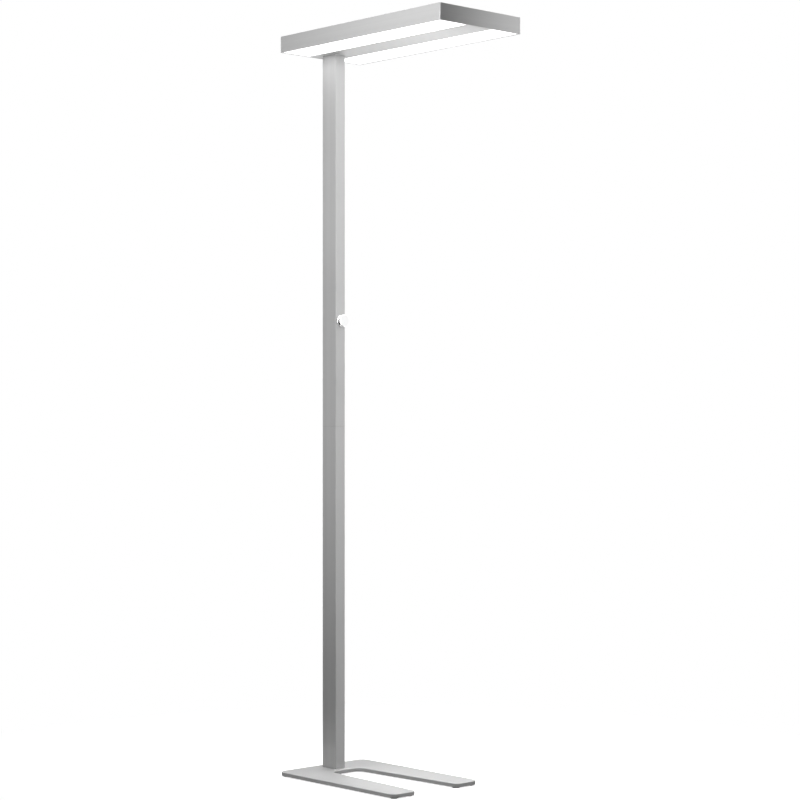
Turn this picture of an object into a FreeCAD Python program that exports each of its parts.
"""Office floor lamp: a forked steel base plate, a two-piece rectangular aluminium column with a
rotary push dimmer, and a flat head that shines down and up through two pairs of long panels.

Frame: millimetres, +Z up. The floor is z = 0. X = 0 and Y = 0 are the middle of the head, which
is also the middle of the lamp's box. The head and the two prongs of the base point along +X, and
the column stands near the rear end. Every body is drawn in a frame of its own, about the column's
axis, the head's middle or the knob's seat, and is put in place by its Placement.
"""
import FreeCAD, Part
import Sketcher
import os
import re

Vector = FreeCAD.Vector

# ------------------------------------------------------------------ driving dimensions

DIMENSIONS = {
    "overall": {
        "total_height": 1950,       # floor to the top of the head
        "head_length": 610,
        "head_width": 280,
        "head_height": 42,
        "rear_overhang": 53.5,      # column axis to the head's rear end
        "base_length": 452,
        "base_width": 299,
        "base_rear": 52,            # column axis to the plate's rear edge
    },
    "base plate": {
        "plate_thick": 9.5,
        "glide_height": 3,
        "glide_radius": 10,
        "glide_edge": 18,           # glide centre to the outer edges of the plate
        "glide_slot_edge": 13.5,    # glide centre to the edge of the slot
        "rear_corner": 25,
        "prong_outer_corner": 25,
        "prong_inner_corner": 18,
        "slot_start": 46.5,         # column axis to the closed end of the slot
        "slot_neck": 98.6,          # width of the slot at its closed end
        "slot_mouth": 139,          # width of the slot at its open end
        "slot_corner": 21,
        "plate_rim": 1.2,           # rounding of the plate's top edge
    },
    "column": {
        "column_width": 54.5,       # along X
        "column_depth": 32.2,       # along Y
        "column_wall": 2.5,
        "column_edge": 1.5,         # outer edge radius of the extrusion
        "column_bore_edge": 1,      # inner edge radius of the extrusion
        "joint_height": 922,        # floor to the joint between the two column pieces
        "joint_arris": 0.35,        # chamfer that shows as a hairline at the joint
        "fit_gap": 0.25,            # insert to extrusion, on each side
        "foot_height": 45,
        "sleeve_length": 180,
        "spigot_length": 100,
        "duct_depth": 14,           # cable duct in the inserts, along Y
        "duct_margin": 2,
    },
    "cable inlet": {
        "inlet_height": 100,
        "inlet_bore": 4,
        "inlet_barrel": 6,
        "inlet_flange": 8.5,
        "inlet_flange_thick": 1.5,
        "inlet_lip": 1.5,
        "inlet_barb": 0.5,          # step of the lip over the barrel, on the radius
    },
    "fasteners": {
        "thread_gap": 0.05,         # a thread is drawn at its outer size with this clearance
        "base_bolt_radius": 3,
        "base_bolt_head": 6,
        "base_bolt_length": 28,
        "base_bolt_across": 4,
        "base_bolt_pitch_x": 34,
        "base_bolt_pitch_y": 14,
        "grub_radius": 2.5,
        "grub_length": 8,
        "grub_across": 2.5,
        "grub_sunk": 0.4,           # below the column's rear face
        "grub_inset": 45,           # joint to the sleeve's grub screws
        "grub_pitch": 40,           # between the two of the spigot
        "foot_grub_rise": 34,       # plate to the foot's grub screw
        "spigot_grub_drop": 35,     # head to the spigot's upper grub screw
        "top_bolt_radius": 2,
        "top_bolt_head": 4,
        "top_bolt_length": 7,
        "top_bolt_across": 2.5,
        "bolt_gap": 0.3,            # clearance hole, on the radius
        "socket_depth": 2,
    },
    "dimmer": {
        "knob_height": 1202,
        "collar_wall": 4.4,
        "collar_height": 4,
        "collar_floor": 1.2,
        "collar_round": 1.2,
        "neck_gap": 0.8,            # collar to the knob's neck, on the radius
        "neck_wall": 1.8,
        "nut_clearance": 1.1,       # knob's hollow to the nut's corners, on the radius
        "knob_radius": 15.6,
        "knob_flare": 6.5,          # length of the flare from neck to rim
        "flare_along": 0.62,        # where the flare's arc passes, as shares of its length
        "flare_out": 0.38,          # and of its height
        "knob_rim": 3.5,
        "knob_round": 1.2,
        "knob_crown": 2,            # height of the crowned face above the rim
        "knob_skin": 3.5,           # metal left in front of the shaft
        "hollow_reserve": 1.5,      # knob's hollow to the bush at the end of the travel
        "push_travel": 1.5,
        "push_reserve": 0.3,        # gap left at the end of the travel
        "shaft_radius": 3,
        "shaft_flat": 1.8,          # shaft axis to its flat
        "shaft_gap": 0.05,          # running clearance of the shaft, on the radius
        "bush_radius": 4.5,
        "bush_end": 5,
        "nut_across": 12,
        "nut_thick": 2.2,
        "encoder_side": 14,
        "encoder_depth": 6.5,
        "encoder_wall": 1.5,
        "encoder_back_thick": 1,
        "rotor_radius": 5.2,
        "rotor_thick": 2.4,
        "rotor_gap": 0.3,
        "dome_radius": 1.8,
        "dome_height": 0.5,
        "board_margin": 1.6,        # board to the column's inner walls
        "board_length": 52,
        "board_thick": 1.6,
        "plug_width": 14,
        "plug_length": 12,
        "plug_thick": 6,
    },
    "head frame": {
        "frame_wall": 1.8,
        "frame_corner": 3.5,        # outer radius of the mitred corners
        "ledge_reach": 4.5,         # outer face to the inner edge of each ledge
        "ledge_thick": 1.5,
        "tray_seat": 21,            # underside of the head to the ledge that carries the trays
        "panel_gap": 0.3,           # loose fit of panels, trays and covers
        "top_cover_thick": 2,
        "diffuser_thick": 3,
        "key_leg": 24,
        "key_thick": 2.4,
    },
    "spine": {
        "strip_overhang": 3,        # channel to the edge of the strip, on each side
        "strip_thick": 1.5,
        "strip_round": 0.8,
        "spine_ledge": 5,           # reach of the channel's ledges
        "spine_width": 80,          # outer width of the channel above the strip
        "spine_wall": 2,
        "clip_leg": 9,
        "clip_thick": 1.4,
        "clip_gap": 0.4,
        "neck_inset_x": 4.5,        # spigot to the bracket's neck
        "neck_inset_y": 2.35,
        "flange_overhang": 8,       # neck to the front and rear of the flange
        "flange_depth": 64,
        "flange_thick": 4,
        "flange_bolt_inset_x": 7,
        "flange_bolt_inset_y": 10,
        "tie_gap": 3.5,             # rear tie to the flange
        "tie_width": 56,
        "tie_thick": 2.2,
    },
    "light and supply": {
        "tray_thick": 1.2,
        "led_board_thick": 1.6,
        "led_board_width": 70,
        "led_board_margin": 20,
        "led_side": 4,
        "led_thick": 1,
        "led_rows_pitch": 44,
        "led_end_margin": 12,
        "driver_length": 210,
        "driver_width": 60,
        "driver_thick": 22,
        "driver_start": 90,         # column axis to the driver
        "driver_corner": 2,
        "driver_tab": 12,
        "driver_tab_thick": 1.5,
        "driver_slot": 2.2,
        "terminal_length": 30,
        "terminal_width": 34,
        "terminal_thick": 18,
        "terminal_start": 42,       # column axis to the head terminal
        "terminal_hole": 2,
        "terminal_poles": 3,
        "terminal_inset": 2.35,     # column insert to the mains terminal, on each side
        "mains_terminal_height": 18,
        "lead_radius": 3,
        "lead_bend": 12,
        "lead_side": 3.4,
        "lead_level": 26,           # underside of the head to the leads where they run along it
        "control_lead_radius": 1.8,
        "control_lead_side": 4.4,
    },
}
LED_COLUMNS = 8

doc = FreeCAD.newDocument("office_floor_lamp")
sheet = doc.addObject("Spreadsheet::Sheet", "Dims")
aliases = set()
row = 0
for group, dimensions in DIMENSIONS.items():
    row += 1
    sheet.set("A%d" % row, group)
    for alias, value in dimensions.items():
        row += 1
        sheet.set("A%d" % row, alias)
        sheet.set("B%d" % row, str(value))
        sheet.setAlias("B%d" % row, alias)
        aliases.add(alias)
doc.recompute()

# Places that several pieces share, as expressions on the sheet's aliases.
COLUMN_AXIS = "(rear_overhang - head_length / 2)"
PLATE_TOP = "(glide_height + plate_thick)"
HEAD_BOTTOM = "(total_height - head_height)"
PRONG_END = "(base_length - base_rear)"
INSERT_WIDTH = "(column_width - 2 * column_wall - 2 * fit_gap)"
INSERT_DEPTH = "(column_depth - 2 * column_wall - 2 * fit_gap)"
COVER_SEAT = "(head_height - top_cover_thick)"
WEB_UNDERSIDE = "(head_height - top_cover_thick - ledge_thick)"
SPINE_LENGTH = "(head_length - 2 * ledge_reach - 2 * panel_gap)"
PANEL_LENGTH = "(head_length - 2 * frame_wall - 2 * panel_gap)"
PANEL_INNER = "(spine_width / 2 + panel_gap)"
PANEL_OUTER = "(head_width / 2 - frame_wall - panel_gap)"
PANEL_MIDDLE = "((spine_width / 2 + head_width / 2 - frame_wall) / 2)"
# Along the knob's axis, counted outwards from the column's face.
ENCODER_FRONT = "(-column_wall)"
ENCODER_BACK = "(-column_wall - encoder_depth)"
BOARD_FRONT = "(-column_wall - encoder_depth - encoder_back_thick)"
BOARD_BACK = "(-column_wall - encoder_depth - encoder_back_thick - board_thick)"
SHAFT_END = "(-column_wall - encoder_depth + dome_height + push_travel + push_reserve)"
KNOB_HOLLOW = "(nut_across / sqrt(3) + nut_clearance)"
KNOB_NECK = "(nut_across / sqrt(3) + nut_clearance + neck_wall)"
COLLAR_BORE = "(nut_across / sqrt(3) + nut_clearance + neck_wall + neck_gap)"
KNOB_START = "(collar_floor + push_travel + push_reserve)"
FLARE_START = "(collar_height + push_travel)"
FLARE_END = "(collar_height + push_travel + knob_flare)"
RIM_END = "(collar_height + push_travel + knob_flare + knob_rim)"
HOLLOW_END = "(bush_end + push_travel + hollow_reserve)"
BORE_END = "(%s + knob_crown - knob_skin)" % RIM_END
CONTROL_LEAD_X = "(column_width / 2 + " + BOARD_BACK + " - plug_thick / 2)"
DUCT_REAR = "(-lead_radius - duct_margin)"
DUCT_FRONT = "(" + CONTROL_LEAD_X + " + control_lead_radius + duct_margin)"


def bound(expression):
    """The expression with each alias written as the sheet's cell."""
    return re.sub(r"[a-z_]+", lambda word: ("Dims." if word[0] in aliases else "") + word[0], expression)


def size(expression):
    """The number that the expression stands for now."""
    return float(sheet.evalExpression(bound(expression)))


# ------------------------------------------------------------------ drawing helpers

parts = []


def new_body(label, x="0", y="0", z="0", turn=0):
    """An empty body whose frame stands at (x, y, z), turned about Z by a fixed angle in degrees."""
    body = doc.addObject("PartDesign::Body", label)
    body.Label = label
    body.AllowCompound = True
    body.Placement = FreeCAD.Placement(Vector(), FreeCAD.Rotation(Vector(0, 0, 1), turn))
    for axis, place in (("x", x), ("y", y), ("z", z)):
        body.setExpression("Placement.Base." + axis, bound(place))
    parts.append(body)
    return body


def column_body(label, z="0"):
    """A body on the column's axis."""
    return new_body(label, COLUMN_AXIS, "0", z)


def dimmer_body(label):
    """A body whose origin is the knob's seat on the column's front face, with X outwards."""
    return new_body(label, COLUMN_AXIS + " + column_width / 2", "0", "knob_height")


def head_body(label, turn=0):
    """A body whose origin is the middle of the head's underside."""
    return new_body(label, "0", "0", HEAD_BOTTOM, turn)


def origin_feature(body, role):
    return next(feature for feature in body.Origin.OriginFeatures if feature.Role == role)


def new_sketch(body, plane, offset=("0", "0", "0")):
    """A sketch on one of the body's origin planes, moved by an offset in the sketch's own axes."""
    sketch = body.newObject("Sketcher::SketchObject", body.Name + "_sketch")
    sketch.AttachmentSupport = [(origin_feature(body, plane + "_Plane"), "")]
    sketch.MapMode = "FlatFace"
    for axis, place in zip("xyz", offset):
        sketch.setExpression("AttachmentOffset.Base." + axis, bound(place))
    return sketch


def pin_point(sketch, geometry, end, x, y):
    """Fix one point of a sketch to the place that two expressions give."""
    for kind, axis, place in (("DistanceX", -2, x), ("DistanceY", -1, y)):
        if abs(size(place)) < 1e-9:
            sketch.addConstraint(Sketcher.Constraint("PointOnObject", geometry, end, axis))
        else:
            number = sketch.addConstraint(
                Sketcher.Constraint(kind, -1, 1, geometry, end, size(place)))
            sketch.setExpression("Constraints[%d]" % number, bound(place))


def draw_outline(sketch, points):
    """A closed outline. A point is (x, y), or (x, y, mid_x, mid_y) where an arc leaves it."""
    first = len(sketch.Geometry)
    count = len(points)
    spots = [Vector(size(point[0]), size(point[1]), 0) for point in points]
    arcs = []
    for number, point in enumerate(points):
        start, end = spots[number], spots[(number + 1) % count]
        if len(point) == 4:
            middle = Vector(size(point[2]), size(point[3]), 0)
            arc = sketch.addGeometry(Part.Arc(start, middle, end), False)
            arcs.append((arc, point))
        else:
            sketch.addGeometry(Part.LineSegment(start, end), False)
    starts = []
    for number in range(count):
        along = (sketch.getPoint(first + number, 1) - spots[number]).Length < 1e-6
        starts.append(1 if along else 2)
    for number in range(count):
        after = (number + 1) % count
        sketch.addConstraint(Sketcher.Constraint(
            "Coincident", first + number, 3 - starts[number], first + after, starts[after]))
        pin_point(sketch, first + number, starts[number], points[number][0], points[number][1])
    for arc, point in arcs:
        middle = sketch.addGeometry(Part.Point(Vector(size(point[2]), size(point[3]), 0)), True)
        pin_point(sketch, middle, 1, point[2], point[3])
        sketch.addConstraint(Sketcher.Constraint("PointOnObject", middle, 1, arc))


def draw_circle(sketch, x, y, radius):
    centre = Vector(size(x), size(y), 0)
    circle = sketch.addGeometry(Part.Circle(centre, Vector(0, 0, 1), size(radius)), False)
    pin_point(sketch, circle, 3, x, y)
    number = sketch.addConstraint(Sketcher.Constraint("Radius", circle, size(radius)))
    sketch.setExpression("Constraints[%d]" % number, bound(radius))


def rectangle(x_low, x_high, y_low, y_high):
    return [(x_low, y_low), (x_high, y_low), (x_high, y_high), (x_low, y_high)]


def hexagon(across, x="0", y="0"):
    corner = "(%s / sqrt(3))" % across
    return [("%s + %s * cos(%d)" % (x, corner, turn), "%s + %s * sin(%d)" % (y, corner, turn))
            for turn in range(0, 360, 60)]


def pad(body, sketch, length, midplane=False, reverse=False):
    feature = body.newObject("PartDesign::Pad", body.Name + "_pad")
    feature.Profile = sketch
    feature.Midplane = midplane
    feature.Reversed = reverse
    feature.setExpression("Length", bound(length))
    sketch.Visibility = False
    doc.recompute()
    return feature


def checked_cut(body, feature, before):
    """Stop if a cut took nothing away."""
    doc.recompute()
    if body.Shape.Volume > before - 1e-6:
        raise RuntimeError(feature.Label + " cuts nothing")
    return feature


def pocket(body, sketch, length, midplane=False, reverse=False):
    before = body.Shape.Volume
    feature = body.newObject("PartDesign::Pocket", body.Name + "_pocket")
    feature.Profile = sketch
    feature.Midplane = midplane
    feature.Reversed = reverse
    feature.setExpression("Length", bound(length))
    sketch.Visibility = False
    return checked_cut(body, feature, before)


def revolve(body, sketch, axis, turn=360):
    feature = body.newObject("PartDesign::Revolution", body.Name + "_turned")
    feature.Profile = sketch
    feature.ReferenceAxis = (sketch, [axis])
    feature.Angle = turn
    sketch.Visibility = False
    doc.recompute()
    return feature


def edge_names(body, wanted):
    return ["Edge%d" % (number + 1) for number, edge in enumerate(body.Tip.Shape.Edges) if wanted(edge)]


def fillet(body, names, radius):
    base = body.Tip
    feature = body.newObject("PartDesign::Fillet", body.Name + "_fillet")
    feature.Base = (base, names)
    feature.setExpression("Radius", bound(radius))
    doc.recompute()
    return feature


def chamfer(body, names, width):
    base = body.Tip
    feature = body.newObject("PartDesign::Chamfer", body.Name + "_chamfer")
    feature.Base = (base, names)
    feature.setExpression("Size", bound(width))
    doc.recompute()
    return feature


def is_upright(edge):
    direction = edge.tangentAt(edge.FirstParameter)
    return abs(direction.z) > 0.999


def lies_at(edge, axis, value):
    """Whether the whole edge lies in the plane where that coordinate has that value."""
    box = edge.BoundBox
    low, high = getattr(box, axis + "Min"), getattr(box, axis + "Max")
    return abs(low - value) < 1e-4 and abs(high - value) < 1e-4


def upright_edges_at(body, corners):
    """The upright edges through the given plan corners, as pairs of expressions."""
    spots = [(size(x), size(y)) for x, y in corners]
    return edge_names(body, lambda edge: is_upright(edge) and any(
        abs(edge.BoundBox.XMin - x) < 1e-3 and abs(edge.BoundBox.YMin - y) < 1e-3
        for x, y in spots))


def block(body, x_low, x_high, y_low, y_high, z_low, z_high):
    """A rectangular pad between six faces."""
    sketch = new_sketch(body, "XY", ("0", "0", z_low))
    draw_outline(sketch, rectangle(x_low, x_high, y_low, y_high))
    return pad(body, sketch, "%s - (%s)" % (z_high, z_low))


def block_cut(body, x_low, x_high, y_low, y_high, z_low, z_high):
    """A rectangular pocket between six faces."""
    sketch = new_sketch(body, "XY", ("0", "0", z_low))
    draw_outline(sketch, rectangle(x_low, x_high, y_low, y_high))
    return pocket(body, sketch, "%s - (%s)" % (z_high, z_low), reverse=True)


def dome_middle(rim, crown, radius):
    """A point on the arc of a dome whose centre lies on the axis, half way out from the axis."""
    sphere = "((pow(%s - (%s); 2) + pow(%s; 2)) / (2 * (%s - (%s))))" % (crown, rim, radius, crown, rim)
    along = "%s - %s + sqrt(pow(%s; 2) - pow((%s) / 2; 2))" % (crown, sphere, sphere, radius)
    return along, "(%s) / 2" % radius


def mirrored(points):
    """A half section, given from bottom to top on its +Y side, with its mirror image added."""
    return points + [("-(%s)" % y, z) for y, z in reversed(points)]


def grid(pitch_x, pitch_y, x="0", y="0"):
    """Four places on a rectangle."""
    return [("%s %s %s / 2" % (x, sign_x, pitch_x), "%s %s %s / 2" % (y, sign_y, pitch_y))
            for sign_x in "-+" for sign_y in "-+"]


def countersunk_holes(body, places, face, upwards, radius, head, depth):
    """Countersunk clearance holes whose mouths lie in the level face."""
    sketch = new_sketch(body, "XY", ("0", "0", face))
    for x, y in places:
        draw_circle(sketch, x, y, radius)
    doc.recompute()
    before = body.Shape.Volume
    hole = body.newObject("PartDesign::Hole", body.Name + "_hole")
    hole.Profile = sketch
    doc.recompute()
    hole.DepthType = "Dimension"
    hole.DrillPoint = "Flat"
    hole.Reversed = upwards
    hole.HoleCutType = "Countersink"
    hole.HoleCutCustomValues = True
    hole.HoleCutCountersinkAngle = 90
    hole.setExpression("Diameter", bound("2 * (%s)" % radius))
    hole.setExpression("HoleCutDiameter", bound("2 * (%s)" % head))
    hole.setExpression("Depth", bound(depth))
    sketch.Visibility = False
    return checked_cut(body, hole, before)


def countersunk_bolts(body, places, face, upwards, radius, head, length, across):
    """Countersunk socket bolts, one at each place, with their heads flush in the level face."""
    inward = "" if upwards else "-"
    for x, y in places:
        sketch = new_sketch(body, "XZ", (x, face, "-(%s)" % y))
        draw_outline(sketch, [
            ("0", "0"),
            (head, "0"),
            (radius, "%s(%s - %s)" % (inward, head, radius)),
            (radius, "%s%s" % (inward, length)),
            ("0", "%s%s" % (inward, length))])
        revolve(body, sketch, "V_Axis")
    sketch = new_sketch(body, "XY", ("0", "0", face))
    for x, y in places:
        draw_outline(sketch, hexagon(across, x, y))
    pocket(body, sketch, "socket_depth", reverse=upwards)


# ------------------------------------------------------------------ base

BASE_BOLTS = grid("base_bolt_pitch_x", "base_bolt_pitch_y")
GLIDES = [("%s - glide_edge" % PRONG_END, "%s(slot_mouth / 2 + glide_slot_edge)" % sign)
          for sign in ("", "-")]
GLIDES += [("%s - glide_edge" % PRONG_END, "%s(base_width / 2 - glide_edge)" % sign)
           for sign in ("", "-")]
GLIDES += [("-base_rear + glide_edge", "%s(base_width / 2 - glide_edge)" % sign)
           for sign in ("", "-")]


def make_base_plate():
    """Steel plate with a slot that widens towards its open end, so the base is a wide fork."""
    body = column_body("base_plate", "glide_height")
    rear_corners = [("-base_rear", "-base_width / 2"), ("-base_rear", "base_width / 2")]
    outer_corners = [(PRONG_END, "-base_width / 2"), (PRONG_END, "base_width / 2")]
    inner_corners = [(PRONG_END, "-slot_mouth / 2"), (PRONG_END, "slot_mouth / 2")]
    slot_corners = [("slot_start", "-slot_neck / 2"), ("slot_start", "slot_neck / 2")]
    sketch = new_sketch(body, "XY")
    draw_outline(sketch, [
        rear_corners[0], outer_corners[0], inner_corners[0], slot_corners[0],
        slot_corners[1], inner_corners[1], outer_corners[1], rear_corners[1]])
    pad(body, sketch, "plate_thick")
    for corners, radius in (
            (rear_corners, "rear_corner"), (outer_corners, "prong_outer_corner"),
            (inner_corners, "prong_inner_corner"), (slot_corners, "slot_corner")):
        fillet(body, upright_edges_at(body, corners), radius)
    thick = size("plate_thick")
    fillet(body, edge_names(body, lambda edge: lies_at(edge, "Z", thick)), "plate_rim")
    countersunk_holes(body, BASE_BOLTS, "0", True, "base_bolt_radius + bolt_gap",
                      "base_bolt_head + bolt_gap", "plate_thick")


def make_base_glides():
    """Round glides under the plate: two at each prong's end and one at each rear corner."""
    body = column_body("base_glides")
    sketch = new_sketch(body, "XY")
    for x, y in GLIDES:
        draw_circle(sketch, x, y, "glide_radius")
    pad(body, sketch, "glide_height")


def make_base_bolts():
    """Countersunk bolts that hold the column's foot down on the plate, from below."""
    body = column_body("base_bolts", "glide_height")
    countersunk_bolts(body, BASE_BOLTS, "0", True, "base_bolt_radius", "base_bolt_head",
                      "base_bolt_length", "base_bolt_across")


# ------------------------------------------------------------------ column

FOOT_GRUBS = ["%s + foot_grub_rise" % PLATE_TOP]
SLEEVE_GRUBS = ["joint_height - grub_inset", "joint_height + grub_inset"]
SPIGOT_GRUBS = ["%s - spigot_grub_drop - grub_pitch" % HEAD_BOTTOM,
                "%s - spigot_grub_drop" % HEAD_BOTTOM]


def tube(label, z_low, z_high):
    """One length of the rectangular extrusion, with rounded outer and inner edges."""
    body = column_body(label, z_low)
    length = "%s - (%s)" % (z_high, z_low)
    half = ("column_width / 2", "column_depth / 2")
    block(body, "-" + half[0], half[0], "-" + half[1], half[1], "0", length)
    fillet(body, edge_names(body, is_upright), "column_edge")
    inner = ("(column_width / 2 - column_wall)", "(column_depth / 2 - column_wall)")
    block_cut(body, "-" + inner[0], inner[0], "-" + inner[1], inner[1], "0", length)
    corners = [(x + inner[0], y + inner[1]) for x in ("", "-") for y in ("", "-")]
    fillet(body, upright_edges_at(body, corners), "column_bore_edge")
    return body


def soften_end(body, level):
    """Chamfer the outer edges of a tube's end face."""
    half_width, half_depth, wall = size("column_width / 2"), size("column_depth / 2"), size("column_wall")
    inner_width, inner_depth = half_width - wall, half_depth - wall

    def is_outer(edge):
        box = edge.BoundBox
        reach_x = max(abs(box.XMin), abs(box.XMax))
        reach_y = max(abs(box.YMin), abs(box.YMax))
        return lies_at(edge, "Z", level) and (
            reach_x > inner_width + 1e-3 or reach_y > inner_depth + 1e-3)

    chamfer(body, edge_names(body, is_outer), "joint_arris")


def cut_rear_holes(body, base, levels, radius):
    """Round holes through the rear wall, at heights above the floor."""
    sketch = new_sketch(body, "YZ")
    for level in levels:
        draw_circle(sketch, "0", "%s - (%s)" % (level, base), radius)
    pocket(body, sketch, "column_width")


def cut_grub_holes(body, base, levels):
    """Threaded holes in an insert behind the rear wall, as deep as the grub screws reach."""
    sketch = new_sketch(body, "YZ", ("0", "0", "-(column_width / 2 - grub_sunk - grub_length - fit_gap)"))
    for level in levels:
        draw_circle(sketch, "0", "%s - (%s)" % (level, base), "grub_radius + thread_gap")
    pocket(body, sketch, "column_width")


def make_column_lower():
    body = tube("column_lower", PLATE_TOP, "joint_height")
    soften_end(body, size("joint_height - %s" % PLATE_TOP))
    cut_rear_holes(body, PLATE_TOP, FOOT_GRUBS + SLEEVE_GRUBS[:1], "grub_radius + thread_gap")
    cut_rear_holes(body, PLATE_TOP, ["inlet_height"], "inlet_barrel + thread_gap")


def make_column_upper():
    body = tube("column_upper", "joint_height", HEAD_BOTTOM)
    soften_end(body, 0)
    cut_rear_holes(body, "joint_height", SLEEVE_GRUBS[1:] + SPIGOT_GRUBS, "grub_radius + thread_gap")
    sketch = new_sketch(body, "YZ")
    draw_circle(sketch, "0", "knob_height - joint_height", "bush_radius + shaft_gap")
    pocket(body, sketch, "column_width", reverse=True)


def make_column_foot():
    """Solid insert in the foot of the column, threaded for the bolts from below."""
    body = column_body("column_foot", PLATE_TOP)
    half = (INSERT_WIDTH + " / 2", INSERT_DEPTH + " / 2")
    block(body, "-" + half[0], half[0], "-" + half[1], half[1], "0", "foot_height")
    fillet(body, edge_names(body, is_upright), "column_bore_edge")
    threads = new_sketch(body, "XY")
    for x, y in BASE_BOLTS:
        draw_circle(threads, x, y, "base_bolt_radius + thread_gap")
    pocket(body, threads, "base_bolt_length - plate_thick + bolt_gap", reverse=True)
    cut_grub_holes(body, PLATE_TOP, FOOT_GRUBS)


def make_joint_sleeve():
    """Inner sleeve that joins the two column pieces and lets the supply lead through."""
    body = column_body("joint_sleeve", "joint_height - sleeve_length / 2")
    half = (INSERT_WIDTH + " / 2", INSERT_DEPTH + " / 2")
    block(body, "-" + half[0], half[0], "-" + half[1], half[1], "0", "sleeve_length")
    fillet(body, edge_names(body, is_upright), "column_bore_edge")
    block_cut(body, DUCT_REAR, DUCT_FRONT, "-duct_depth / 2", "duct_depth / 2", "0", "sleeve_length")
    cut_grub_holes(body, "joint_height - sleeve_length / 2", SLEEVE_GRUBS)


def make_grub_screws():
    """Socket grub screws in the rear face, which lock the foot, the sleeve and the head's spigot."""
    body = column_body("grub_screws")
    for level in FOOT_GRUBS + SLEEVE_GRUBS + SPIGOT_GRUBS:
        sketch = new_sketch(body, "YZ", ("0", level, "-column_width / 2 + grub_sunk"))
        draw_circle(sketch, "0", "0", "grub_radius")
        pad(body, sketch, "grub_length")
        socket = new_sketch(body, "YZ", ("0", level, "-column_width / 2 + grub_sunk"))
        draw_outline(socket, hexagon("grub_across"))
        pocket(body, socket, "socket_depth", reverse=True)


def make_inlet_grommet():
    """Bush in the rear wall near the foot, where the mains cord goes in."""
    body = column_body("inlet_grommet", "inlet_height")
    sketch = new_sketch(body, "XZ")
    rear = "-column_width / 2"
    inside = "(-column_width / 2 + column_wall)"
    draw_outline(sketch, [
        (rear + " - inlet_flange_thick", "inlet_bore"),
        (rear + " - inlet_flange_thick", "inlet_flange - inlet_flange_thick / 2"),
        (rear + " - inlet_flange_thick / 2", "inlet_flange"),
        (rear, "inlet_flange"),
        (rear, "inlet_barrel"),
        (inside, "inlet_barrel"),
        (inside, "inlet_barrel + inlet_barb"),
        (inside + " + inlet_lip", "inlet_barrel - inlet_barb"),
        (inside + " + inlet_lip", "inlet_bore")])
    revolve(body, sketch, "H_Axis")


def make_mains_terminal():
    """Screw terminal on top of the foot, where the cord ends and the inner lead starts."""
    body = column_body("mains_terminal", "%s + foot_height" % PLATE_TOP)
    half = "(%s / 2 - terminal_inset)" % INSERT_DEPTH
    block(body, "-" + half, half, "-" + half, half, "0", "mains_terminal_height")
    holes = new_sketch(body, "YZ")
    pitch = "(2 * %s / terminal_poles)" % half
    for pole in (-1, 0, 1):
        draw_circle(holes, "%d * %s" % (pole, pitch), "mains_terminal_height / 2", "terminal_hole")
    pocket(body, holes, half)


# ------------------------------------------------------------------ rotary push dimmer

def make_knob_collar():
    """Polished cup on the column's face, in which the knob's neck turns and slides."""
    body = dimmer_body("knob_collar")
    sketch = new_sketch(body, "XZ")
    outside = "(%s + collar_wall)" % COLLAR_BORE
    draw_outline(sketch, [
        ("0", "bush_radius + shaft_gap"),
        ("0", outside),
        ("collar_height - collar_round", outside,
         "collar_height - collar_round * (1 - sin(45))", outside + " - collar_round * (1 - cos(45))"),
        ("collar_height", outside + " - collar_round"),
        ("collar_height", COLLAR_BORE),
        ("collar_floor", COLLAR_BORE),
        ("collar_floor", "bush_radius + shaft_gap")])
    revolve(body, sketch, "H_Axis")


def make_knob():
    """Waisted knob: a straight neck, a hollow flare, a rim and a slightly crowned face."""
    body = dimmer_body("dimmer_knob")
    sketch = new_sketch(body, "XZ")
    face_radius = "(knob_radius - knob_round)"
    flare_bend = (FLARE_START + " + knob_flare * flare_along",
                  "%s + (knob_radius - %s) * flare_out" % (KNOB_NECK, KNOB_NECK))
    rim_bend = (RIM_END + " - knob_round * (1 - sin(45))", "knob_radius - knob_round * (1 - cos(45))")
    crown = "(%s + knob_crown)" % RIM_END
    draw_outline(sketch, [
        (KNOB_START, KNOB_HOLLOW),
        (KNOB_START, KNOB_NECK),
        (FLARE_START, KNOB_NECK) + flare_bend,
        (FLARE_END, "knob_radius"),
        (RIM_END + " - knob_round", "knob_radius") + rim_bend,
        (RIM_END, face_radius) + dome_middle(RIM_END, crown, face_radius),
        (crown, "0"),
        (BORE_END, "0"),
        (BORE_END, "shaft_radius + shaft_gap"),
        (HOLLOW_END, "shaft_radius + shaft_gap"),
        (HOLLOW_END, KNOB_HOLLOW)])
    revolve(body, sketch, "H_Axis")


def make_dimmer_shaft():
    """Shaft of the dimmer, with one flat along it."""
    body = dimmer_body("dimmer_shaft")
    sketch = new_sketch(body, "YZ", ("0", "0", SHAFT_END))
    draw_circle(sketch, "0", "0", "shaft_radius")
    pad(body, sketch, "%s - fit_gap - %s" % (BORE_END, SHAFT_END))
    flat = new_sketch(body, "YZ", ("0", "0", SHAFT_END))
    draw_outline(flat, rectangle("-shaft_radius", "shaft_radius", "shaft_flat", "shaft_radius + shaft_gap"))
    pocket(body, flat, "bush_end - %s" % SHAFT_END, reverse=True)


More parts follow.
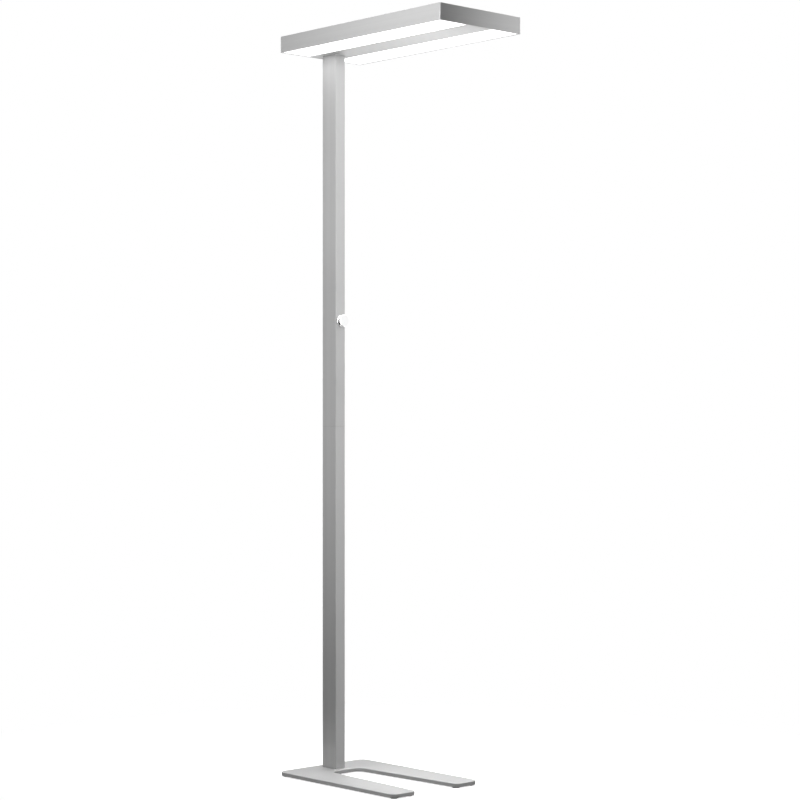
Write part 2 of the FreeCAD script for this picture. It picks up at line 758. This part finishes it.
def make_encoder_housing():
    """Square dimmer housing with a threaded bush that passes through the column's front wall."""
    body = dimmer_body("encoder_housing")
    side = "encoder_side / 2"
    plan = new_sketch(body, "YZ", ("0", "0", ENCODER_BACK))
    draw_outline(plan, rectangle("-" + side, side, "-" + side, side))
    pad(body, plan, "encoder_depth")
    bush = new_sketch(body, "YZ", ("0", "0", ENCODER_FRONT))
    draw_circle(bush, "0", "0", "bush_radius")
    pad(body, bush, "bush_end - %s" % ENCODER_FRONT)
    chamber = new_sketch(body, "YZ", ("0", "0", ENCODER_BACK))
    draw_circle(chamber, "0", "0", "rotor_radius + rotor_gap")
    pocket(body, chamber, "encoder_depth - encoder_wall", reverse=True)
    bore = new_sketch(body, "YZ", ("0", "0", ENCODER_BACK))
    draw_circle(bore, "0", "0", "shaft_radius + shaft_gap")
    pocket(body, bore, "bush_end - %s" % ENCODER_BACK, reverse=True)


def make_encoder_rotor():
    """Detent disc that turns with the shaft and lets it slide through its flatted hole."""
    body = dimmer_body("encoder_rotor")
    rear = "(%s - encoder_wall - rotor_gap - rotor_thick)" % ENCODER_FRONT
    disc = new_sketch(body, "YZ", ("0", "0", rear))
    draw_circle(disc, "0", "0", "rotor_radius")
    pad(body, disc, "rotor_thick")
    keyhole = new_sketch(body, "YZ", ("0", "0", rear))
    reach = "(shaft_radius + shaft_gap)"
    flat = "(shaft_flat + shaft_gap)"
    edge = "sqrt(pow(%s; 2) - pow(%s; 2))" % (reach, flat)
    draw_outline(keyhole, [
        ("-" + edge, flat, "0", "-" + reach),
        (edge, flat)])
    pocket(body, keyhole, "rotor_thick", reverse=True)


def make_encoder_back():
    """Plate that closes the dimmer housing and carries it on the board."""
    body = dimmer_body("encoder_back")
    side = "encoder_side / 2"
    plate = new_sketch(body, "YZ", ("0", "0", BOARD_FRONT))
    draw_outline(plate, rectangle("-" + side, side, "-" + side, side))
    pad(body, plate, "encoder_back_thick")


def make_push_dome():
    """Snap dome that the shaft presses when the knob is pushed."""
    body = dimmer_body("push_dome")
    sketch = new_sketch(body, "XZ", (ENCODER_BACK, "0", "0"))
    draw_outline(sketch, [
        ("0", "0"),
        ("0", "dome_radius") + dome_middle("0", "dome_height", "dome_radius"),
        ("dome_height", "0")])
    revolve(body, sketch, "H_Axis")


def make_encoder_nut():
    """Flat hexagon nut on the bush, which clamps the collar to the column."""
    body = dimmer_body("encoder_nut")
    sketch = new_sketch(body, "YZ", ("0", "0", "collar_floor"))
    draw_outline(sketch, hexagon("nut_across"))
    draw_circle(sketch, "0", "0", "bush_radius + thread_gap")
    pad(body, sketch, "nut_thick")


def make_dimmer_board():
    """Circuit board behind the dimmer, with the plug of the control lead at its top."""
    body = dimmer_body("dimmer_board")
    plate = new_sketch(body, "YZ", ("0", "0", BOARD_BACK))
    edge = "(column_depth / 2 - column_wall - board_margin)"
    draw_outline(plate, rectangle("-" + edge, edge, "-board_length / 2", "board_length / 2"))
    pad(body, plate, "board_thick")
    plug = new_sketch(body, "YZ", ("0", "0", BOARD_BACK))
    draw_outline(plug, rectangle("-plug_width / 2", "plug_width / 2",
                                 "board_length / 2 - plug_length", "board_length / 2"))
    pad(body, plug, "plug_thick", reverse=True)


# ------------------------------------------------------------------ head frame

def ledge_outline(length, half_width, reach):
    """Plan of one mitred rail from its outer face to the given reach, rounded at both mitres."""
    turned_in = "(frame_corner * (1 - cos(45)))"
    sweep = ("(frame_corner * (1 - sin(22.5)))", "(frame_corner * (1 - cos(22.5)))")
    end = "(%s / 2)" % length
    face = "-(%s)" % half_width
    return [
        ("-%s + %s" % (end, turned_in), "%s + %s" % (face, turned_in),
         "-%s + %s" % (end, sweep[0]), "%s + %s" % (face, sweep[1])),
        ("-%s + frame_corner" % end, face),
        ("%s - frame_corner" % end, face,
         "%s - %s" % (end, sweep[0]), "%s + %s" % (face, sweep[1])),
        ("%s - %s" % (end, turned_in), "%s + %s" % (face, turned_in)),
        ("%s - %s" % (end, reach), "%s + %s" % (face, reach)),
        ("-%s + %s" % (end, reach), "%s + %s" % (face, reach))]


def make_rail(label, length, half_width, turn):
    """One side of the head frame: an E-shaped extrusion with mitred ends.

    The lip at its bottom holds a diffuser, the middle ledge a tray and the top ledge a cover.
    """
    body = head_body(label, turn)
    wall = new_sketch(body, "XY")
    draw_outline(wall, ledge_outline(length, half_width, "frame_wall"))
    pad(body, wall, "head_height")
    for seat in ("ledge_thick", "tray_seat", COVER_SEAT):
        ledge = new_sketch(body, "XY", ("0", "0", seat))
        draw_outline(ledge, ledge_outline(length, half_width, "ledge_reach"))
        pad(body, ledge, "ledge_thick", reverse=True)


def make_frame_rails():
    make_rail("rail_right", "head_length", "head_width / 2", 0)
    make_rail("rail_left", "head_length", "head_width / 2", 180)
    make_rail("rail_front", "head_width", "head_length / 2", 90)
    make_rail("rail_rear", "head_width", "head_length / 2", 270)


def make_corner_keys():
    """Angle keys pressed into the mitred corners, between the tray ledge and the top ledge."""
    body = head_body("corner_keys")
    low = "tray_seat + tray_thick + panel_gap"
    high = WEB_UNDERSIDE + " - panel_gap"
    for sign_x in ("", "-"):
        for sign_y in ("", "-"):
            outer = ("(head_length / 2 - frame_wall)", "(head_width / 2 - frame_wall)")
            sketch = new_sketch(body, "XY", ("0", "0", low))
            steps = [("0", "0"), ("key_leg", "0"), ("key_leg", "key_thick"), ("key_thick", "key_thick"),
                     ("key_thick", "key_leg"), ("0", "key_leg")]
            draw_outline(sketch, [("%s(%s - %s)" % (sign_x, outer[0], step_x),
                                   "%s(%s - %s)" % (sign_y, outer[1], step_y))
                                  for step_x, step_y in steps])
            pad(body, sketch, "%s - (%s)" % (high, low))


# ------------------------------------------------------------------ spine

STRIP_EDGE = "(spine_width / 2 + strip_overhang)"
NECK_X = "(%s / 2 - neck_inset_x)" % INSERT_WIDTH
NECK_Y = "(%s / 2 - neck_inset_y)" % INSERT_DEPTH
FLANGE_X = "(%s + flange_overhang)" % NECK_X
FLANGE_BOLT_PITCH = ("(2 * %s - 2 * flange_bolt_inset_x)" % FLANGE_X,
                     "(flange_depth - 2 * flange_bolt_inset_y)")
FLANGE_BOLTS = grid(FLANGE_BOLT_PITCH[0], FLANGE_BOLT_PITCH[1], COLUMN_AXIS)
TIE_LEG = "(rear_overhang - frame_wall - %s - tie_gap)" % FLANGE_X
TIE_BOLT_X = "(head_length / 2 - (ledge_reach + panel_gap + frame_wall + %s) / 2)" % TIE_LEG
TIE_BOLTS = [(sign + TIE_BOLT_X, "0") for sign in ("", "-")]


def section_pad(body, points, length):
    """A straight extrusion along X, about the middle of the head."""
    sketch = new_sketch(body, "YZ")
    draw_outline(sketch, points)
    pad(body, sketch, length, midplane=True)


def make_spine_channel():
    """Backbone of the head: a channel open downwards, with two ledges on each side."""
    body = head_body("spine_channel")
    low = "strip_thick + panel_gap"
    inner = "(spine_width / 2 - spine_wall)"
    outer = "spine_width / 2"
    reach = "(spine_width / 2 + spine_ledge)"
    half = [
        (inner, low), (outer, low),
        (outer, "tray_seat - ledge_thick"), (reach, "tray_seat - ledge_thick"),
        (reach, "tray_seat"), (outer, "tray_seat"),
        (outer, WEB_UNDERSIDE), (reach, WEB_UNDERSIDE),
        (reach, COVER_SEAT), (outer, COVER_SEAT), (outer, "head_height")]
    section_pad(body, mirrored(half) + [("-" + inner, WEB_UNDERSIDE), (inner, WEB_UNDERSIDE)],
                SPINE_LENGTH)
    countersunk_holes(body, FLANGE_BOLTS + TIE_BOLTS, "head_height", False,
                      "top_bolt_radius + bolt_gap", "top_bolt_head + bolt_gap",
                      "head_height - %s" % WEB_UNDERSIDE)


def make_spine_strip():
    """The plain strip seen from below, with two legs that snap into the channel."""
    body = head_body("spine_strip")
    leg_out = "(spine_width / 2 - spine_wall - clip_gap)"
    leg_in = "(%s - clip_thick)" % leg_out
    barb = "(spine_width / 2 - spine_wall - fit_gap)"
    half = [
        (STRIP_EDGE, "0"), (STRIP_EDGE, "strip_thick"),
        (leg_out, "strip_thick"), (leg_out, "clip_leg - clip_thick"),
        (barb, "clip_leg - clip_thick / 2"), (leg_out, "clip_leg"), (leg_in, "clip_leg"),
        (leg_in, "strip_thick")]
    section_pad(body, mirrored(half), SPINE_LENGTH)
    corner = size(STRIP_EDGE)
    fillet(body, edge_names(body, lambda edge: lies_at(edge, "Z", 0) and (
        lies_at(edge, "Y", corner) or lies_at(edge, "Y", -corner))), "strip_round")
    opening_x, opening_y = "(%s + fit_gap)" % NECK_X, "(%s + fit_gap)" % NECK_Y
    block_cut(body, "%s - %s" % (COLUMN_AXIS, opening_x), "%s + %s" % (COLUMN_AXIS, opening_x),
              "-" + opening_y, opening_y, "0", "strip_thick")


def make_head_bracket():
    """Spigot, neck and flange in one piece: it plugs into the column and carries the channel."""
    body = column_body("head_bracket", HEAD_BOTTOM)
    half = (INSERT_WIDTH + " / 2", INSERT_DEPTH + " / 2")
    flange_low = "(%s - flange_thick)" % WEB_UNDERSIDE
    block(body, "-" + half[0], half[0], "-" + half[1], half[1], "-spigot_length", "-fit_gap")
    fillet(body, edge_names(body, is_upright), "column_bore_edge")
    block(body, "-" + NECK_X, NECK_X, "-" + NECK_Y, NECK_Y, "-fit_gap", flange_low)
    block(body, "-" + FLANGE_X, FLANGE_X, "-flange_depth / 2", "flange_depth / 2",
          flange_low, WEB_UNDERSIDE)
    block_cut(body, DUCT_REAR, DUCT_FRONT, "-duct_depth / 2", "duct_depth / 2",
              "-spigot_length", flange_low)
    block_cut(body, DUCT_FRONT, NECK_X, "-duct_depth / 2", "duct_depth / 2",
              "duct_margin", flange_low)
    threads = new_sketch(body, "XY", ("0", "0", flange_low))
    for x, y in grid(*FLANGE_BOLT_PITCH):
        draw_circle(threads, x, y, "top_bolt_radius + thread_gap")
    pocket(body, threads, "flange_thick", reverse=True)
    cut_grub_holes(body, HEAD_BOTTOM, SPIGOT_GRUBS)


def make_end_ties():
    """Angles that tie the channel to the front and rear rails."""
    body = head_body("end_ties")
    outer = "(head_length / 2 - frame_wall)"
    low = "(tray_seat + tray_thick)"
    for sign in ("", "-"):
        sketch = new_sketch(body, "XZ")
        steps = [("0", low), ("tie_thick", low),
                 ("tie_thick", "(%s - tie_thick)" % WEB_UNDERSIDE),
                 (TIE_LEG, "(%s - tie_thick)" % WEB_UNDERSIDE),
                 (TIE_LEG, WEB_UNDERSIDE), ("0", WEB_UNDERSIDE)]
        draw_outline(sketch, [("%s(%s - %s)" % (sign, outer, step), level) for step, level in steps])
        pad(body, sketch, "tie_width", midplane=True)
    threads = new_sketch(body, "XY", ("0", "0", WEB_UNDERSIDE))
    for x, y in TIE_BOLTS:
        draw_circle(threads, x, y, "top_bolt_radius + thread_gap")
    pocket(body, threads, "tie_thick")


def make_spine_bolts():
    """Countersunk bolts, flush in the top of the channel, into the bracket and the end ties."""
    body = head_body("spine_bolts")
    countersunk_bolts(body, FLANGE_BOLTS + TIE_BOLTS, "head_height", False, "top_bolt_radius",
                      "top_bolt_head", "top_bolt_length", "top_bolt_across")


# ------------------------------------------------------------------ light and supply

def make_panel(label, side, z_low, z_high):
    """A flat panel that fills one bay of the head, on the side with the given sign of Y."""
    body = head_body(label)
    block(body, "-%s / 2" % PANEL_LENGTH, "%s / 2" % PANEL_LENGTH,
          side + PANEL_INNER, side + PANEL_OUTER, z_low, z_high)


def make_led_board(label, side, face, upwards):
    """Circuit board with two rows of light sources on the side that faces away from the tray."""
    body = head_body(label)
    away = "+" if upwards else "-"
    half_length = "(%s / 2 - led_board_margin)" % PANEL_LENGTH
    middle = "%s%s" % (side, PANEL_MIDDLE)
    plate = new_sketch(body, "XY", ("0", "0", face))
    draw_outline(plate, rectangle("-" + half_length, half_length,
                                  middle + " - led_board_width / 2", middle + " + led_board_width / 2"))
    pad(body, plate, "led_board_thick", reverse=not upwards)
    start = "(-%s + led_end_margin)" % half_length
    source = new_sketch(body, "XY", ("0", "0", "%s %s led_board_thick" % (face, away)))
    for row_sign in "-+":
        y = "%s %s led_rows_pitch / 2" % (middle, row_sign)
        draw_outline(source, rectangle(start, start + " + led_side",
                                       y + " - led_side / 2", y + " + led_side / 2"))
    light = pad(body, source, "led_thick", reverse=not upwards)
    pattern = body.newObject("PartDesign::LinearPattern", body.Name + "_pattern")
    pattern.Originals = [light]
    pattern.Direction = (origin_feature(body, "X_Axis"), [""])
    pattern.Occurrences = LED_COLUMNS
    pattern.setExpression("Length", bound("2 * %s - 2 * led_end_margin - led_side" % half_length))
    body.Tip = pattern
    doc.recompute()


def make_bay(name, side):
    """What one bay of the head holds, from the diffuser up to the top cover."""
    make_panel("diffuser_" + name, side, "ledge_thick", "ledge_thick + diffuser_thick")
    make_panel("led_tray_" + name, side, "tray_seat", "tray_seat + tray_thick")
    make_led_board("downlight_board_" + name, side, "tray_seat", False)
    make_led_board("uplight_board_" + name, side, "tray_seat + tray_thick", True)
    make_panel("top_cover_" + name, side, COVER_SEAT, "head_height")


def make_driver():
    """Supply unit under the channel's web, with a slotted tab at each end."""
    body = new_body("led_driver", COLUMN_AXIS + " + driver_start", "0",
                    "%s + %s" % (HEAD_BOTTOM, WEB_UNDERSIDE))
    half = "driver_width / 2"
    block(body, "driver_tab", "driver_length - driver_tab", "-" + half, half, "-driver_thick", "0")
    fillet(body, edge_names(body, is_upright), "driver_corner")
    block(body, "0", "driver_length", "-%s + driver_tab" % half, "%s - driver_tab" % half,
          "-driver_tab_thick", "0")
    slots = new_sketch(body, "XY")
    for x in ("driver_tab / 2", "driver_length - driver_tab / 2"):
        draw_circle(slots, x, "0", "driver_slot")
    pocket(body, slots, "driver_tab_thick")


def make_head_terminal():
    """Screw terminal between the leads and the driver."""
    body = new_body("head_terminal", COLUMN_AXIS + " + terminal_start", "0",
                    "%s + %s" % (HEAD_BOTTOM, WEB_UNDERSIDE))
    block(body, "0", "terminal_length", "-terminal_width / 2", "terminal_width / 2",
          "-terminal_thick", "0")
    holes = new_sketch(body, "YZ", ("0", "0", "terminal_length"))
    pitch = "(terminal_width / terminal_poles)"
    for pole in (-1, 0, 1):
        draw_circle(holes, "%d * %s" % (pole, pitch), "-terminal_thick / 2", "terminal_hole")
    pocket(body, holes, "terminal_length / 2")


def make_lead(label, x, y, z_low, radius):
    """A lead that climbs inside the column and bends forwards to the head terminal."""
    body = column_body(label)
    level = "(%s + lead_level)" % HEAD_BOTTOM
    rise_end = "(%s - lead_bend)" % level
    rise = new_sketch(body, "XY", (x, y, z_low))
    draw_circle(rise, "0", "0", radius)
    pad(body, rise, "%s - %s" % (rise_end, z_low))
    bend = new_sketch(body, "XY", ("%s + lead_bend" % x, y, rise_end))
    draw_circle(bend, "-lead_bend", "0", radius)
    revolve(body, bend, "V_Axis", 90)
    run = new_sketch(body, "YZ", (y, level, "%s + lead_bend" % x))
    draw_circle(run, "0", "0", radius)
    pad(body, run, "terminal_start - lead_bend - (%s)" % x)


def make_leads():
    make_lead("supply_lead", "0", "-lead_side",
              "(%s + foot_height + mains_terminal_height)" % PLATE_TOP, "lead_radius")
    make_lead("control_lead", CONTROL_LEAD_X, "control_lead_side",
              "(knob_height + board_length / 2)", "control_lead_radius")


# ------------------------------------------------------------------ build, check, write

make_base_plate()
make_base_glides()
make_base_bolts()
make_column_foot()
make_column_lower()
make_column_upper()
make_joint_sleeve()
make_grub_screws()
make_inlet_grommet()
make_mains_terminal()
make_knob_collar()
make_knob()
make_dimmer_shaft()
make_encoder_housing()
make_encoder_rotor()
make_encoder_back()
make_push_dome()
make_encoder_nut()
make_dimmer_board()
make_frame_rails()
make_corner_keys()
make_spine_channel()
make_spine_strip()
make_head_bracket()
make_end_ties()
make_spine_bolts()
make_bay("right", "-")
make_bay("left", "")
make_driver()
make_head_terminal()
make_leads()
doc.recompute()

for item in doc.Objects:
    if "Invalid" in item.State or "Error" in item.State:
        raise RuntimeError(item.Label + " is in state " + str(item.State))
os.makedirs("parts", exist_ok=True)
for part in parts:
    shape = part.Shape
    if shape.isNull() or not shape.isValid() or not shape.Solids:
        raise RuntimeError(part.Label + " has no valid solid")
    shape.exportStep(os.path.join("parts", part.Label + ".step"))
    print("%-24s %3d solid(s) %10.0f mm3" % (part.Label, len(shape.Solids), shape.Volume))
